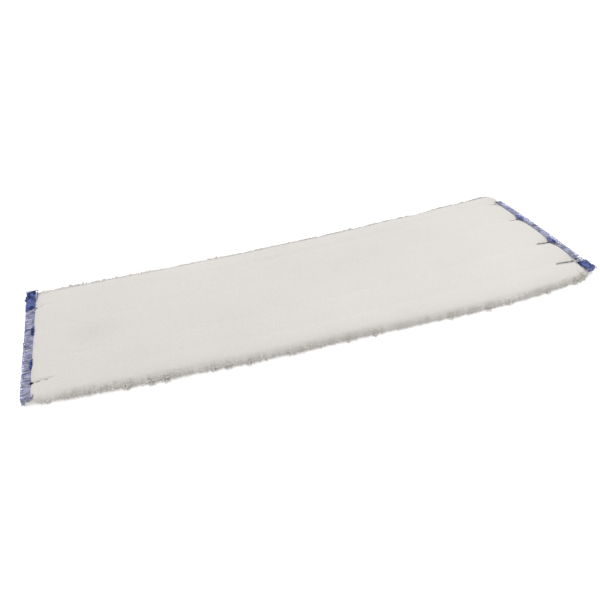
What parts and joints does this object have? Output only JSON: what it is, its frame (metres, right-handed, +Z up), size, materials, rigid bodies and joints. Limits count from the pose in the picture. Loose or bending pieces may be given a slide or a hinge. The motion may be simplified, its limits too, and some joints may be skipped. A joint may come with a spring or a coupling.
{
  "type": "flat mop cover",
  "caption": "Rectangular white microfibre flat mop cover, pile side up, with a felt core, loop-fabric back, lengthwise stitch rows and blue overlocked ends.",
  "frame": {"origin": "centre of the pad's outline at its lowest face, the back of the loop panel", "axes": "+X along the pad towards its wider end, +Y across it, +Z up through the pile"},
  "size_m": [0.45, 0.1532, 0.007],
  "materials": {
    "pile": "matte microfibre pile",
    "felt": "matte needled felt",
    "loop": "matte brushed loop fabric",
    "row_thread": "matte spun thread",
    "overlock_thread": "slightly lustrous textured thread",
    "tack_thread": "slightly lustrous textured thread"
  },
  "bodies": {
    "root": {"pile_face": "pile", "felt_core": "felt", "loop_back_panel": "loop", "row_needle_thread_1": "row_thread", "row_needle_thread_2": "row_thread", "row_needle_thread_3": "row_thread", "row_needle_thread_4": "row_thread", "row_looper_thread_1": "row_thread", "row_looper_thread_2": "row_thread", "row_looper_thread_3": "row_thread", "row_looper_thread_4": "row_thread", "overlock_needle_thread_left": "overlock_thread", "overlock_upper_looper_left": "overlock_thread", "overlock_lower_looper_left": "overlock_thread", "overlock_end_tack_left": "tack_thread", "overlock_needle_thread_right": "overlock_thread", "overlock_upper_looper_right": "overlock_thread", "overlock_lower_looper_right": "overlock_thread", "overlock_end_tack_right": "tack_thread"}
  },
  "joints": []
}
